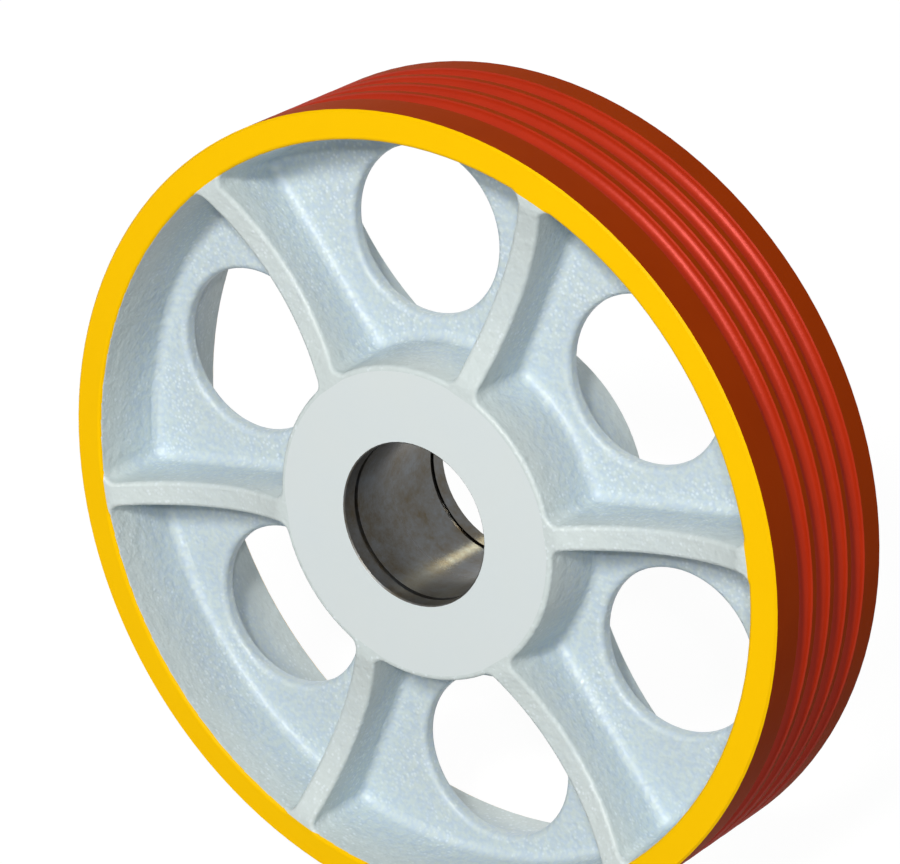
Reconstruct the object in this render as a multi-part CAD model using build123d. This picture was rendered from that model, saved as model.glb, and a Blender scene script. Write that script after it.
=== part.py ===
from build123d import *
from math import cos, radians, sin, tan
import os

# Four-groove wire rope sheave: one iron casting, with the rim, the hub faces and the bore machined.
# The wheel's axis lies along Y, the front face looks towards -Y, and the origin is on the axis,
# midway between the two rim faces.  Lengths are in millimetres and angles in degrees.

# Rim, and the round rope grooves turned into it
rim_diameter = 400.0
rim_wall = 14.3             # thickness at the side faces
rim_draft = 4.5             # the inner wall thickens towards the web
rim_chamfer = 1.0
groove_count = 4
groove_radius = 5.3         # for a 10 mm rope, let in by half its thickness
groove_land = 4.4           # left standing between two grooves
front_land = 19.7           # between the front face and the first groove
rear_land = 14.7
lip_chamfer = min(0.6, groove_land / 4)

# Hub, bored for the outer rings of two 6208 ball bearings
hub_diameter = 155.0
hub_length = 80.0
hub_recess = 3.0            # the hub's front face lies behind the rim's
hub_draft = 3.0
bore_diameter = 80.0
bore_chamfer = 0.6

# Two grooves for internal retaining rings, to DIN 472 for an 80 mm bore
ring_groove_depth = 1.75
ring_groove_width = 2.65
ring_groove_inset = 8.0     # from each hub face to the groove

# Web, a plate halfway between the rim faces, with a lightening hole in each pocket
web_thickness = 9.0
hole_margin = 10.3          # flat web left between a hole and the foot of the nearest wall
hole_edge = min(3.0, web_thickness / 3)

# Ribs, the same on both sides of the web
rib_count = 6
rib_thickness = 12.0        # at the level of the rim face
rib_draft = 1.0
rib_dip = 10.5              # the crest sags this far between the hub and the rim
rib_landing = 4.0           # level stretch at each end of the crest
crest_bend = 16.0           # radius between the level stretch and the sagging one
first_rib_angle = 9.0       # from +X towards +Z

# Cast fillets
floor_fillet = 5.0          # round the floor of each pocket
corner_fillet = 1.1 * floor_fillet   # between a rib and the hub or rim
crest_rounding = min(2.0, rib_thickness / 4)

rim_radius = rim_diameter / 2
groove_pitch = 2 * groove_radius + groove_land
rim_width = front_land + (groove_count - 1) * groove_pitch + 2 * groove_radius + rear_land
rim_face = rim_width / 2
hub_front_face = rim_face - hub_recess
hub_rear_face = hub_length - hub_front_face
bore_radius = bore_diameter / 2
web_face = web_thickness / 2
rib_spacing = 360 / rib_count
overshoot = rim_wall        # how far a cutting shape reaches past what it cuts


def hub_wall_radius(level):
    """The hub's cast wall at a distance from the middle of the width."""
    return hub_diameter / 2 + (hub_front_face - level) * tan(radians(hub_draft))


def rim_wall_radius(level):
    """The rim's inner wall at a distance from the middle of the width."""
    return rim_radius - rim_wall - (rim_face - level) * tan(radians(rim_draft))


def half_rib(level):
    """Half the rib's thickness at a distance from the middle of the width."""
    return rib_thickness / 2 + (rim_face - level) * tan(radians(rib_draft))


def corners_at(sketch, places):
    """The sketch's corners at the given places."""
    close = bore_chamfer / 10
    return [v for v in sketch.vertices() if min((Vector(v) - Vector(*p)).length for p in places) < close]


def side_outline(side, hub_face):
    """One side of the uncut wheel: hub face, sagging crest and rim face, and the crest's two bends."""
    inner = (hub_wall_radius(hub_front_face) + rib_landing, side * hub_face)
    outer = (rim_wall_radius(rim_face) - rib_landing, side * rim_face)
    lowest = ((inner[0] + outer[0]) / 2, (inner[1] + outer[1]) / 2 - side * rib_dip)
    outline = Line((bore_radius, side * hub_face), inner)
    outline += ThreePointArc(inner, lowest, outer)
    outline += Line(outer, (rim_radius, side * rim_face))
    return outline, [inner, outer]


def groove_middles():
    """Where the rope grooves' centres lie, on the rim's surface."""
    first = front_land + groove_radius - rim_face
    return [(rim_radius, first + i * groove_pitch) for i in range(groove_count)]


def ring_grooves():
    """Square grooves in the bore's wall, one near each end."""
    middle = ring_groove_inset + ring_groove_width / 2
    cutter = Rectangle(2 * ring_groove_depth, ring_groove_width)
    front = Pos(bore_radius, middle - hub_front_face) * cutter
    rear = Pos(bore_radius, hub_rear_face - middle) * cutter
    return front + rear


def wheel_section():
    """Half section of the uncut wheel; across is the radius, up is the distance along the axis."""
    front, front_bends = side_outline(-1, hub_front_face)
    rear, rear_bends = side_outline(1, hub_rear_face)
    bore_ends = [(bore_radius, -hub_front_face), (bore_radius, hub_rear_face)]
    rim_corners = [(rim_radius, -rim_face), (rim_radius, rim_face)]
    section = make_face(front + rear + Line(*bore_ends) + Line(*rim_corners))
    section = fillet(corners_at(section, front_bends + rear_bends), crest_bend)
    section = chamfer(corners_at(section, rim_corners), rim_chamfer)
    section = chamfer(corners_at(section, bore_ends), bore_chamfer)
    section -= ring_grooves()
    section -= [Pos(*middle) * Circle(groove_radius) for middle in groove_middles()]
    lips = [(x, y + side * groove_radius) for x, y in groove_middles() for side in (-1, 1)]
    return chamfer(corners_at(section, lips), lip_chamfer)


def pocket():
    """The hollow between two ribs on the front side, centred on +X, from the web out past the rim."""
    mouth = rim_face + overshoot
    ring = revolve(make_face(Polyline(
        (hub_wall_radius(web_face), -web_face),
        (rim_wall_radius(web_face), -web_face),
        (rim_wall_radius(mouth), -mouth),
        (hub_wall_radius(mouth), -mouth),
        close=True,
    )), Axis.Y)

    half_angle = radians(rib_spacing / 2)
    apex = half_rib(web_face) / sin(half_angle)
    reach = rim_diameter
    between_ribs = make_face(Polyline(
        (apex, 0),
        (apex + reach * cos(half_angle), -reach * sin(half_angle)),
        (apex + reach * cos(half_angle), reach * sin(half_angle)),
        close=True,
    ))
    wedge = extrude(Plane.XZ.offset(web_face) * between_ribs, mouth - web_face, taper=-rib_draft)

    hollow = ring & wedge
    hollow = fillet(hollow.edges().filter_by(Plane.XZ, reverse=True), corner_fillet)
    floor = hollow.faces().filter_by(Plane.XZ).sort_by(Axis.Y)[-1]
    return fillet(floor.edges(), floor_fillet)


def lightening_hole():
    """Cutter for the hole centred on +X, as large as the flat of the pocket's floor allows."""
    hub_foot = hub_wall_radius(web_face)
    rim_foot = rim_wall_radius(web_face)
    centre = (hub_foot + rim_foot) / 2
    room_to_rib = centre * sin(radians(rib_spacing / 2)) - half_rib(web_face)
    radius = min((rim_foot - hub_foot) / 2, room_to_rib) - hole_margin
    return Pos(centre, 0, 0) * Rot(90, 0, 0) * Cylinder(radius, web_thickness + overshoot)


def between_each_pair_of_ribs(shape):
    """Copies of a shape, turned about the axis from +X into every gap between two ribs."""
    first = first_rib_angle + rib_spacing / 2
    return [Rot(0, -(first + i * rib_spacing), 0) * shape for i in range(rib_count)]


def sheave():
    """The whole wheel: turned form, pockets on both sides, lightening holes, cast edges."""
    blank = revolve(wheel_section(), Axis.Y)
    front_pockets = between_each_pair_of_ribs(pocket())
    pockets = front_pockets + [mirror(hollow, Plane.XZ) for hollow in front_pockets]
    wheel = blank - pockets
    wheel = fillet(new_edges(blank, *pockets, combined=wheel), crest_rounding)

    holes = between_each_pair_of_ribs(lightening_hole())
    holed_wheel = wheel - holes
    return fillet(new_edges(wheel, *holes, combined=holed_wheel), hole_edge)


os.makedirs("parts", exist_ok=True)
export_step(sheave(), "parts/sheave.step")
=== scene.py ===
"""Looks of a four-groove wire rope sheave: a sand-cast iron wheel, turned, bored and enamelled."""

import math

import bmesh
import bpy
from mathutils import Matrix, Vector


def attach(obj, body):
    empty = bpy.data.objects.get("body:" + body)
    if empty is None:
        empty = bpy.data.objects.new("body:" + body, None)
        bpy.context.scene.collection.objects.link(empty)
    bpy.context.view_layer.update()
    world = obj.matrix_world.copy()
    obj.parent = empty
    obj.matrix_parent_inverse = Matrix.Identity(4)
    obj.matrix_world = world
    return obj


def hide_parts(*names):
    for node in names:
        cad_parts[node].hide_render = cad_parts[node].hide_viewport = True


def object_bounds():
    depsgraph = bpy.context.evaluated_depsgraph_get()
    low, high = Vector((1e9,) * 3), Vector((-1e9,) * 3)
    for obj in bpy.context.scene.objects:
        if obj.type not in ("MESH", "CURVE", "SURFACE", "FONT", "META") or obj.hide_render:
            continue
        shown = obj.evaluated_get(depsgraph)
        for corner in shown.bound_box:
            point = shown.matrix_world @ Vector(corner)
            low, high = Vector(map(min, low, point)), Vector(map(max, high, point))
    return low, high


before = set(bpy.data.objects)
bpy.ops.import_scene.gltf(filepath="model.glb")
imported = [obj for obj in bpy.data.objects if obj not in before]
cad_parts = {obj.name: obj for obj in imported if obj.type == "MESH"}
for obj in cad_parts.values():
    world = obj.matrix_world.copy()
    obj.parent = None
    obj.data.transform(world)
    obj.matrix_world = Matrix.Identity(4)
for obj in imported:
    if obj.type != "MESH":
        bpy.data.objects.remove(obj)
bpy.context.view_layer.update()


# --- The casting ------------------------------------------------------------------------------
# One piece of grey iron: rim, ribbed web and hub, poured in a sand mould and fettled by hand.
# It is sprayed all over with pale grey alkyd enamel, thick and glossy enough to glint on the
# grains of the rough skin that the sand has left.  The grains' tops also carry painted highlights,
# and the parts towards the ribs' crests are painted lighter, as painted light.

MM = 0.001

# Sizes in millimetres.  A radius is taken about the axle, a distance from the middle of the width.
rim_face_inner_radius = 185.7
rim_face_distance = 43.0        # the rim's side faces lie farther out than this
hub_face_outer_radius = 75.0    # what is turned flat ends inside the hub's rounded edge
hub_face_distance = 37.9        # the hub's faces lie farther out than this


def linear(hex_colour):
    """An sRGB hex colour as the linear RGBA that a shader takes."""
    channels = [int(hex_colour[i:i + 2], 16) / 255 for i in (1, 3, 5)]
    return [c / 12.92 if c <= 0.04045 else ((c + 0.055) / 1.055) ** 2.4 for c in channels] + [1.0]


def per_metre(size_mm):
    """The texture scale at which one feature of a pattern is about this large."""
    return 1 / (size_mm * MM)


def add_node(tree, kind, inputs=None, **settings):
    """Adds a node with its settings; each input takes a value, or the output that feeds it."""
    made = tree.nodes.new(kind)
    for name, value in settings.items():
        setattr(made, name, value)
    for name, value in (inputs or {}).items():
        if isinstance(value, bpy.types.NodeSocket):
            tree.links.new(value, made.inputs[name])
        else:
            made.inputs[name].default_value = value
    return made


def new_material(name):
    """An empty material, with its tree and the coordinates of the wheel's own frame."""
    material = bpy.data.materials.new(name)
    material.use_nodes = True
    tree = material.node_tree
    tree.nodes.clear()
    return material, tree, add_node(tree, "ShaderNodeTexCoord").outputs["Object"]


def radius_of(point):
    """Distance from the wheel's axle, which lies along Y."""
    return math.hypot(point.x, point.z)


def split_along_circle(form, radius, beyond):
    """Cuts the faces that a circle about the axle crosses, so that a paint edge can follow it.
    Only faces farther from the middle of the width than the last value are cut."""
    crossings = []
    for edge in list(form.edges):
        start, end = edge.verts
        before, after = radius_of(start.co) - radius, radius_of(end.co) - radius
        if before * after < 0 and min(abs(start.co.y), abs(end.co.y)) > beyond:
            share = before / (before - after)
            crossings.append(bmesh.utils.edge_split(edge, start, share)[1])
    bmesh.ops.connect_verts(form, verts=crossings)


def casting_from(node, name):
    """A copy of a CAD node with its triangles joined, its paint edges cut and its normals kept."""
    mesh = node.data.copy()
    mesh.name = name
    kept = mesh.attributes.new("true_normal", "FLOAT_VECTOR", "CORNER")
    kept.data.foreach_set("vector", [part for n in node.data.corner_normals for part in n.vector])
    form = bmesh.new()
    form.from_mesh(mesh)
    same_point = 0.001 * MM
    bmesh.ops.remove_doubles(form, verts=form.verts, dist=same_point)
    for radius, beyond in [
        (rim_face_inner_radius, rim_face_distance), (hub_face_outer_radius, hub_face_distance),
    ]:
        split_along_circle(form, radius * MM, beyond * MM)
    form.to_mesh(mesh)
    form.free()
    normals = [n.vector.normalized() for n in mesh.attributes["true_normal"].data]
    mesh.attributes.remove(mesh.attributes["true_normal"])
    mesh.normals_split_custom_set(normals)
    mesh.materials.clear()
    return bpy.data.objects.new(name, mesh)


def grey_enamel_on_sand_cast_iron():
    """Glossy paint over grains, lumps and shallow swells of a sand-cast skin.  It mottles softly,
    its coarse grains' tops glint and are painted pale in the colour as painted highlights, and it
    is painted from blue-grey to a lighter plain grey towards the ribs' crests, as painted light.
    Moulding sand is too fine to show, so its grains are drawn at 2 mm, about three times their size."""
    material, tree, place = new_material("grey_alkyd_enamel_on_sand_cast_iron")
    grains = add_node(tree, "ShaderNodeTexVoronoi", {"Vector": place, "Scale": per_metre(2.0)})
    skin_noise = add_node(tree, "ShaderNodeTexNoise", {
        "Vector": place, "Scale": per_metre(2.6), "Detail": 1.0, "Roughness": 0.5})
    lumps = add_node(tree, "ShaderNodeTexNoise", {
        "Vector": place, "Scale": per_metre(9.0), "Detail": 2.0, "Roughness": 0.5})
    swells = add_node(tree, "ShaderNodeTexNoise", {
        "Vector": place, "Scale": per_metre(45.0), "Detail": 2.0, "Roughness": 0.5})
    grain_tops = add_node(tree, "ShaderNodeMapRange", {
        "Value": grains.outputs["Distance"], "From Min": 0.1, "From Max": 0.6,
        "To Min": 1.0, "To Max": 0.0}, interpolation_type="SMOOTHSTEP")
    proud_grains = add_node(tree, "ShaderNodeMapRange", {
        "Value": grains.outputs["Color"], "From Min": 0.3, "From Max": 0.9})
    coarse_patches = add_node(tree, "ShaderNodeMapRange", {
        "Value": swells.outputs["Fac"], "From Min": 0.4, "From Max": 0.6,
        "To Min": 0.12, "To Max": 0.6}, interpolation_type="SMOOTHSTEP")
    grain_tops_and_painted_glints = grain_tops.outputs["Result"]
    for share in (proud_grains, coarse_patches):
        product = add_node(tree, "ShaderNodeMath", {0: grain_tops_and_painted_glints, 1: share.outputs["Result"]},
                           operation="MULTIPLY")
        grain_tops_and_painted_glints = product.outputs[0]
    normal = None
    for height, strength, depth in [
        (grain_tops_and_painted_glints, 1.0, 0.2), (skin_noise.outputs["Fac"], 0.8, 0.4), (lumps.outputs["Fac"], 0.7, 1.4),
    ]:
        relief = add_node(tree, "ShaderNodeBump", {
            "Height": height, "Strength": strength, "Distance": depth * MM})
        if normal:
            tree.links.new(normal, relief.inputs["Normal"])
        normal = relief.outputs["Normal"]
    mottle = add_node(tree, "ShaderNodeMapRange", {
        "Value": skin_noise.outputs["Fac"], "From Min": 0.35, "From Max": 0.65})
    coat = add_node(tree, "ShaderNodeMix", {
        "Factor": mottle.outputs["Result"], "A": linear("#B9C8D4"), "B": linear("#C4D0D1")},
        data_type="RGBA")
    along = add_node(tree, "ShaderNodeSeparateXYZ", {0: place}).outputs["Y"]
    off_middle = add_node(tree, "ShaderNodeMath", {0: along}, operation="ABSOLUTE")
    # Lighter, plain grey towards the ribs' crests, where the lamps fall: painted light; deeper in,
    # the coat stays bluer.
    painted_crest_light = add_node(tree, "ShaderNodeMapRange", {
        "Value": off_middle.outputs[0], "From Min": 20.0 * MM, "From Max": 36.0 * MM})
    coat_and_painted_crest_light = add_node(tree, "ShaderNodeMix", {
        "Factor": painted_crest_light.outputs["Result"], "A": coat.outputs["Result"], "B": linear("#CBD5D5")},
        data_type="RGBA")
    # The grain tops are painted pale in the colour here, a painted highlight beside their real
    # glints from the lower roughness.
    tint = add_node(tree, "ShaderNodeMix", {
        "Factor": grain_tops_and_painted_glints, "A": coat_and_painted_crest_light.outputs["Result"], "B": linear("#EAF3FA")},
        data_type="RGBA")
    gloss = add_node(tree, "ShaderNodeMapRange", {"Value": grain_tops_and_painted_glints, "To Min": 0.42, "To Max": 0.14})
    shader = add_node(tree, "ShaderNodeBsdfPrincipled", {
        "Base Color": tint.outputs["Result"], "Roughness": gloss.outputs["Result"],
        "IOR": 1.45, "Normal": normal})
    add_node(tree, "ShaderNodeOutputMaterial", {"Surface": shader.outputs["BSDF"]})
    return material


wheel = casting_from(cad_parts["sheave"], "sheave_casting")
bpy.context.scene.collection.objects.link(wheel)
wheel.data.materials.append(grey_enamel_on_sand_cast_iron())


# --- The rim's side faces ---------------------------------------------------------------------
# Both sides of the rim are faced in the lathe to the same width and painted yellow by hand, out
# over the broken corner with the rope tread and in to the edge of the casting.  The tool's fine
# rings just show through the paint.

past_rim_face = 45.1            # distance just beyond the rim's side faces, at 45
past_tread = 200.1              # radius just beyond the tread, at 200


def band_finish_tree():
    """Geometry Nodes that paint the faces within a band about the axle, between two radii and
    between two distances from the middle of the width."""
    tree = bpy.data.node_groups.new("band_finish", "GeometryNodeTree")
    for name, kind in [
        ("Wheel", "NodeSocketGeometry"),
        ("Inner radius", "NodeSocketFloat"),
        ("Outer radius", "NodeSocketFloat"),
        ("Nearest to middle", "NodeSocketFloat"),
        ("Farthest from middle", "NodeSocketFloat"),
        ("Finish", "NodeSocketMaterial"),
    ]:
        tree.interface.new_socket(name, in_out="INPUT", socket_type=kind)
    tree.interface.new_socket("Wheel", in_out="OUTPUT", socket_type="NodeSocketGeometry")
    given = add_node(tree, "NodeGroupInput").outputs
    place = add_node(tree, "GeometryNodeInputPosition").outputs["Position"]
    flat = add_node(tree, "ShaderNodeVectorMath", {0: place, 1: (1, 0, 1)}, operation="MULTIPLY")
    radius = add_node(tree, "ShaderNodeVectorMath", {0: flat.outputs[0]}, operation="LENGTH")
    along = add_node(tree, "ShaderNodeSeparateXYZ", {0: place}).outputs["Y"]
    off_middle = add_node(tree, "ShaderNodeMath", {0: along}, operation="ABSOLUTE")
    within = []
    for value, low, high in [
        (radius.outputs["Value"], "Inner radius", "Outer radius"),
        (off_middle.outputs["Value"], "Nearest to middle", "Farthest from middle"),
    ]:
        above = add_node(tree, "ShaderNodeMath", {0: value, 1: given[low]}, operation="GREATER_THAN")
        below = add_node(tree, "ShaderNodeMath", {0: value, 1: given[high]}, operation="LESS_THAN")
        both = add_node(tree, "ShaderNodeMath", {0: above.outputs[0], 1: below.outputs[0]},
                        operation="MULTIPLY")
        within.append(both.outputs[0])
    chosen = add_node(tree, "ShaderNodeMath", dict(enumerate(within)), operation="MULTIPLY")
    real = add_node(tree, "GeometryNodeRealizeInstances", {"Geometry": given["Wheel"]})
    painted = add_node(tree, "GeometryNodeSetMaterial", {
        "Geometry": real.outputs["Geometry"], "Selection": chosen.outputs[0],
        "Material": given["Finish"]})
    add_node(tree, "NodeGroupOutput", {"Wheel": painted.outputs["Geometry"]})
    return tree


band_finish = band_finish_tree()


def paint_band(piece, material, radii, distances):
    """Adds the finish between two radii and two distances from mid-width, all in millimetres."""
    modifier = piece.modifiers.new(material.name, "NODES")
    modifier.node_group = band_finish
    sizes = [size * MM for size in (*radii, *distances)]
    names = ["Inner radius", "Outer radius", "Nearest to middle", "Farthest from middle"]
    for name, value in zip([*names, "Finish"], [*sizes, material]):
        socket = band_finish.interface.items_tree[name]
        modifier[socket.identifier] = value


def distance_from_axle(tree, place):
    """The output of nodes that measure how far a point lies from the axle."""
    flat = add_node(tree, "ShaderNodeVectorMath", {0: place, 1: (1, 0, 1)}, operation="MULTIPLY")
    radius = add_node(tree, "ShaderNodeVectorMath", {0: flat.outputs[0]}, operation="LENGTH")
    return radius.outputs["Value"]


def yellow_enamel_on_turned_iron():
    """Smooth paint in one strong colour, a little uneven in its flow.  The lathe tool's rings are
    too fine to show, so they are drawn under it at 0.7 mm, about twice their real spacing."""
    material, tree, place = new_material("yellow_alkyd_enamel_on_turned_iron")
    rings = add_node(tree, "ShaderNodeTexNoise", {
        "W": distance_from_axle(tree, place), "Scale": per_metre(0.7), "Detail": 2.0},
        noise_dimensions="1D")
    flow = add_node(tree, "ShaderNodeTexNoise", {
        "Vector": place, "Scale": per_metre(5.0), "Detail": 2.0})
    tool_marks = add_node(tree, "ShaderNodeBump", {
        "Height": rings.outputs["Fac"], "Strength": 0.15, "Distance": 0.1 * MM})
    surface = add_node(tree, "ShaderNodeBump", {
        "Height": flow.outputs["Fac"], "Strength": 0.2, "Distance": 0.4 * MM,
        "Normal": tool_marks.outputs["Normal"]})
    thickness = add_node(tree, "ShaderNodeTexNoise", {
        "Vector": place, "Scale": per_metre(30.0), "Detail": 3.0})
    colour = add_node(tree, "ShaderNodeMix", {
        "Factor": thickness.outputs["Fac"], "A": linear("#FBC600"), "B": linear("#F8C100")},
        data_type="RGBA")
    shader = add_node(tree, "ShaderNodeBsdfPrincipled", {
        "Base Color": colour.outputs["Result"], "Roughness": 0.45, "Specular IOR Level": 0.05,
        "Normal": surface.outputs["Normal"]})
    add_node(tree, "ShaderNodeOutputMaterial", {"Surface": shader.outputs["BSDF"]})
    return material


paint_band(
    wheel, yellow_enamel_on_turned_iron(), radii=(rim_face_inner_radius, past_tread),
    distances=(rim_face_distance, past_rim_face))


# --- The rope tread ---------------------------------------------------------------------------
# The rim's outside is turned, and its four half-round rope grooves are cut with a form tool.
# Lands and grooves are sprayed with red oxide enamel, which stays deep brown on the lands and
# catches the light in the grooves.

middle = -0.1                   # distance that takes in the very middle of the width
tread_edge = 44.1               # distance just beyond the tread; the broken corner stays yellow
groove_floor = 194.0            # radius just inside the grooves' bottoms
groove_lip = 199.78             # radius where a groove's broken lip meets its land


def red_enamel_on_turned_iron(name, deeper, lighter, roughness, gloss, gleam):
    """Orange-red paint over the form tool's rings, with a fine orange peel in its own skin.  Matt,
    it looks deep brown; glossy, it carries a soft line of light along each groove."""
    material, tree, place = new_material(name)
    along = add_node(tree, "ShaderNodeSeparateXYZ", {0: place}).outputs["Y"]
    rings = add_node(tree, "ShaderNodeTexNoise", {
        "W": along, "Scale": per_metre(1.2), "Detail": 3.0}, noise_dimensions="1D")
    orange_peel = add_node(tree, "ShaderNodeTexNoise", {
        "Vector": place, "Scale": per_metre(2.5), "Detail": 2.0})
    tool_marks = add_node(tree, "ShaderNodeBump", {
        "Height": rings.outputs["Fac"], "Strength": 0.3, "Distance": 0.15 * MM})
    surface = add_node(tree, "ShaderNodeBump", {
        "Height": orange_peel.outputs["Fac"], "Strength": 0.3, "Distance": 0.25 * MM,
        "Normal": tool_marks.outputs["Normal"]})
    thickness = add_node(tree, "ShaderNodeTexNoise", {
        "Vector": place, "Scale": per_metre(25.0), "Detail": 3.0})
    colour = add_node(tree, "ShaderNodeMix", {
        "Factor": thickness.outputs["Fac"], "A": linear(lighter), "B": linear(deeper)},
        data_type="RGBA")
    shader = add_node(tree, "ShaderNodeBsdfPrincipled", {
        "Base Color": colour.outputs["Result"], "Roughness": roughness,
        "Specular IOR Level": gloss, "Specular Tint": linear(gleam),
        "Normal": surface.outputs["Normal"]})
    add_node(tree, "ShaderNodeOutputMaterial", {"Surface": shader.outputs["BSDF"]})
    return material


matt_land_paint = red_enamel_on_turned_iron(
    "matt_red_oxide_enamel_on_turned_lands", "#983306", "#A33A07", roughness=0.6, gloss=0.02,
    gleam="#FFFFFF")
glossy_groove_paint = red_enamel_on_turned_iron(
    "glossy_red_oxide_enamel_in_rope_grooves", "#A02508", "#AE2D0B", roughness=0.36, gloss=0.65,
    gleam="#FF8480")
paint_band(wheel, matt_land_paint, radii=(groove_lip, past_tread), distances=(middle, tread_edge))
paint_band(
    wheel, glossy_groove_paint, radii=(groove_floor, groove_lip), distances=(middle, tread_edge))


# --- The hub's faces --------------------------------------------------------------------------
# Each end of the hub is faced in the lathe square to the bore, then sprayed with the same grey
# enamel as the casting, which lies flat and even here.

past_hub_face = 42.1            # distance just beyond the hub's faces
bore_edge_radius = 40.5         # the broken edge of the bore stays bare up to here


def grey_enamel_on_faced_iron():
    """The casting's paint on a turned surface: even and half-matt, with no grain.  The tool's
    faint rings are drawn at 0.8 mm, about twice their real spacing."""
    material, tree, place = new_material("grey_alkyd_enamel_on_faced_iron")
    rings = add_node(tree, "ShaderNodeTexNoise", {
        "W": distance_from_axle(tree, place), "Scale": per_metre(0.8), "Detail": 2.0},
        noise_dimensions="1D")
    tool_marks = add_node(tree, "ShaderNodeBump", {
        "Height": rings.outputs["Fac"], "Strength": 0.15, "Distance": 0.08 * MM})
    thickness = add_node(tree, "ShaderNodeTexNoise", {
        "Vector": place, "Scale": per_metre(35.0), "Detail": 2.0})
    colour = add_node(tree, "ShaderNodeMix", {
        "Factor": thickness.outputs["Fac"], "A": linear("#D3DCDF"), "B": linear("#D6DDDD")},
        data_type="RGBA")
    shader = add_node(tree, "ShaderNodeBsdfPrincipled", {
        "Base Color": colour.outputs["Result"], "Roughness": 0.5, "IOR": 1.5,
        "Normal": tool_marks.outputs["Normal"]})
    add_node(tree, "ShaderNodeOutputMaterial", {"Surface": shader.outputs["BSDF"]})
    return material


paint_band(
    wheel, grey_enamel_on_faced_iron(), radii=(bore_edge_radius, hub_face_outer_radius),
    distances=(hub_face_distance, past_hub_face))


# --- The bore ---------------------------------------------------------------------------------
# Bored to size for the bearings' outer rings, with a groove near each end for a retaining ring.
# It is masked off when the wheel is sprayed, so it shows bare iron under a film of oil.

inside_bore = 39.0              # radius just inside the bore, at 40
past_ring_groove = 41.9         # radius just beyond the bottoms of the ring grooves


def bare_bored_iron():
    """Dark grey metal with the boring bar's rings, browned in patches by oil and air.  The oil
    lies wetter towards the rear, where a lamp is mirrored as a streak.  The rings are drawn at
    0.9 mm, about three times their real spacing."""
    material, tree, place = new_material("bare_bored_grey_iron")
    along = add_node(tree, "ShaderNodeSeparateXYZ", {0: place}).outputs["Y"]
    rings = add_node(tree, "ShaderNodeTexNoise", {
        "W": along, "Scale": per_metre(0.9), "Detail": 4.0, "Roughness": 0.7},
        noise_dimensions="1D")
    tool_marks = add_node(tree, "ShaderNodeBump", {
        "Height": rings.outputs["Fac"], "Strength": 0.35, "Distance": 0.08 * MM})
    patches = add_node(tree, "ShaderNodeTexNoise", {
        "Vector": place, "Scale": per_metre(14.0), "Detail": 6.0, "Roughness": 0.8})
    stained = add_node(tree, "ShaderNodeMapRange", {
        "Value": patches.outputs["Fac"], "From Min": 0.3, "From Max": 0.7})
    colour = add_node(tree, "ShaderNodeMix", {
        "Factor": stained.outputs["Result"], "A": linear("#666B70"), "B": linear("#514837")},
        data_type="RGBA")
    oil_film = add_node(tree, "ShaderNodeMapRange", {
        "Value": along, "From Min": -22.0 * MM, "From Max": 8.0 * MM,
        "To Min": 0.42, "To Max": 0.2}, interpolation_type="SMOOTHSTEP")
    shader = add_node(tree, "ShaderNodeBsdfPrincipled", {
        "Base Color": colour.outputs["Result"], "Metallic": 1.0,
        "Roughness": oil_film.outputs["Result"],
        "Normal": tool_marks.outputs["Normal"]})
    add_node(tree, "ShaderNodeOutputMaterial", {"Surface": shader.outputs["BSDF"]})
    return material


paint_band(
    wheel, bare_bored_iron(), radii=(inside_bore, past_ring_groove),
    distances=(middle, past_hub_face))

# The bands' modifiers become part of the mesh, and the one finished piece stands for the node.
painted_wheel = wheel.evaluated_get(bpy.context.evaluated_depsgraph_get())
finished = bpy.data.meshes.new_from_object(painted_wheel)
wheel.modifiers.clear()
wheel.data = finished
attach(wheel, "root")
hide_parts("sheave")


# --- The studio -------------------------------------------------------------------------------
# The wheel stands on its rim on a white floor in a white room, seen from its right-hand front
# through a long lens.  Three soft boxes light it from the front and four, weaker on what the
# camera sees, from behind, so that the back and the left side show as well.


def seen_by_camera_or_gloss(tree):
    """1 for what the camera sees straight, mirrored or through glass; 0 for light on the wheel."""
    path = add_node(tree, "ShaderNodeLightPath").outputs
    seen = add_node(tree, "ShaderNodeMath", {
        0: path["Is Camera Ray"], 1: path["Is Glossy Ray"]}, operation="MAXIMUM")
    return add_node(tree, "ShaderNodeMath", {
        0: seen.outputs[0], 1: path["Is Transmission Ray"]}, operation="MAXIMUM").outputs[0]


def white_floor():
    """Matt white that stays white where it is seen, and still takes a faint shadow.  What it
    throws back on the wheel is only that of a pale grey floor."""
    white_share = 0.75
    material, tree, _ = new_material("white_painted_floor")
    lit = add_node(tree, "ShaderNodeBsdfDiffuse", {"Color": linear("#ACACAC")})
    white = add_node(tree, "ShaderNodeEmission", {"Color": linear("#FFFFFF"), "Strength": 1.25})
    share = add_node(tree, "ShaderNodeMath", {
        0: seen_by_camera_or_gloss(tree), 1: white_share}, operation="MULTIPLY")
    mixed = add_node(tree, "ShaderNodeMixShader", {
        0: share.outputs[0], 1: lit.outputs[0], 2: white.outputs[0]})
    add_node(tree, "ShaderNodeOutputMaterial", {"Surface": mixed.outputs[0]})
    return material


floor_reach = 20.0              # metres from the wheel to each side
floor_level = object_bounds()[0].z
corners = [
    (x * floor_reach, y * floor_reach, floor_level) for x, y in ((-1, -1), (1, -1), (1, 1), (-1, 1))]
floor_mesh = bpy.data.meshes.new("floor")
floor_mesh.from_pydata(corners, [], [(0, 1, 2, 3)])
floor_mesh.materials.append(white_floor())
floor = bpy.data.objects.new("floor", floor_mesh)
bpy.context.scene.collection.objects.link(floor)

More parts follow.
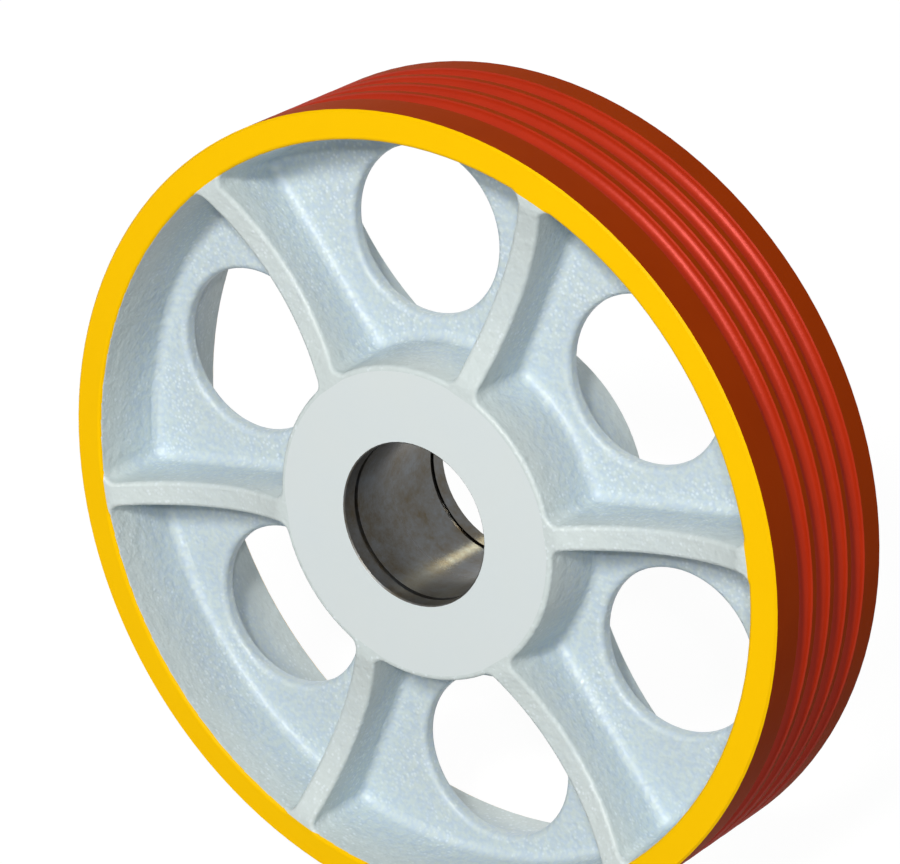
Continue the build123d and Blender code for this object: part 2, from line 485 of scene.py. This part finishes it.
room = bpy.data.worlds.new("white_room")
room.use_nodes = True
room.node_tree.nodes.clear()
glow = add_node(room.node_tree, "ShaderNodeMix", {
    "Factor": seen_by_camera_or_gloss(room.node_tree),
    "A": linear("#30363D"), "B": linear("#FFFFFF")}, data_type="RGBA")
sky = add_node(room.node_tree, "ShaderNodeBackground", {"Color": glow.outputs["Result"]})
add_node(room.node_tree, "ShaderNodeOutputWorld", {"Surface": sky.outputs[0]})
bpy.context.scene.world = room


def from_front(azimuth, elevation, distance):
    """A place round the wheel: degrees to the right of the front face and above it, and metres."""
    turn, rise = math.radians(azimuth), math.radians(elevation)
    level = math.cos(rise)
    return Vector((math.sin(turn) * level, -math.cos(turn) * level, math.sin(rise))) * distance


def add_lamp(name, place, size, power, colour, glints=True):
    """A square soft box that faces the wheel.  Without glints it shows in nothing glossy, so that
    it doesn't flare on what is seen through the holes."""
    lamp = bpy.data.lights.new(name, "AREA")
    lamp.shape = "SQUARE"
    lamp.size, lamp.energy, lamp.color = size, power, linear(colour)[:3]
    holder = bpy.data.objects.new(name, lamp)
    holder.location = place
    holder.rotation_euler = (-place).to_track_quat("-Z", "Y").to_euler()
    holder.visible_camera = False
    holder.visible_glossy = glints
    bpy.context.scene.collection.objects.link(holder)


lamp_distance = 5.0             # metres
for name, azimuth, elevation, size, power, colour, glints in [
    ("key", 10.0, 28.0, 0.6, 71.0, "#FFFEFA", True),
    ("high", 20.0, 35.0, 0.6, 132.0, "#FFFEFA", True),
    ("flash", 36.0, 26.0, 0.15, 49.0, "#FCFDFF", True),     # small, just above the camera
    ("rear", 180.0, 4.0, 2.0, 96.0, "#FFFFFF", False),
    ("left", -130.0, 24.0, 2.0, 86.0, "#FFFFFF", False),
    ("top", 175.0, 60.0, 1.0, 12.0, "#FFFFFF", True),
    ("back", -165.0, 39.5, 0.7, 10.0, "#FFF2C4", True),     # mirrored as the streak in the bore
]:
    add_lamp(name, from_front(azimuth, elevation, lamp_distance), size, power, colour, glints)

camera = bpy.data.cameras.new("camera")
camera.lens = 184.6
camera.clip_end = 100.0         # metres, past the floor's far corners
viewpoint = bpy.data.objects.new("camera", camera)
target = Vector((-12.5, 5.1, 28.0)) * MM
offset = from_front(azimuth=35.49, elevation=22.22, distance=2.1774)
viewpoint.location = target + offset
viewpoint.rotation_euler = (-offset).to_track_quat("-Z", "Y").to_euler()
bpy.context.scene.collection.objects.link(viewpoint)
bpy.context.scene.camera = viewpoint
bpy.context.scene.view_settings.view_transform = "Standard"
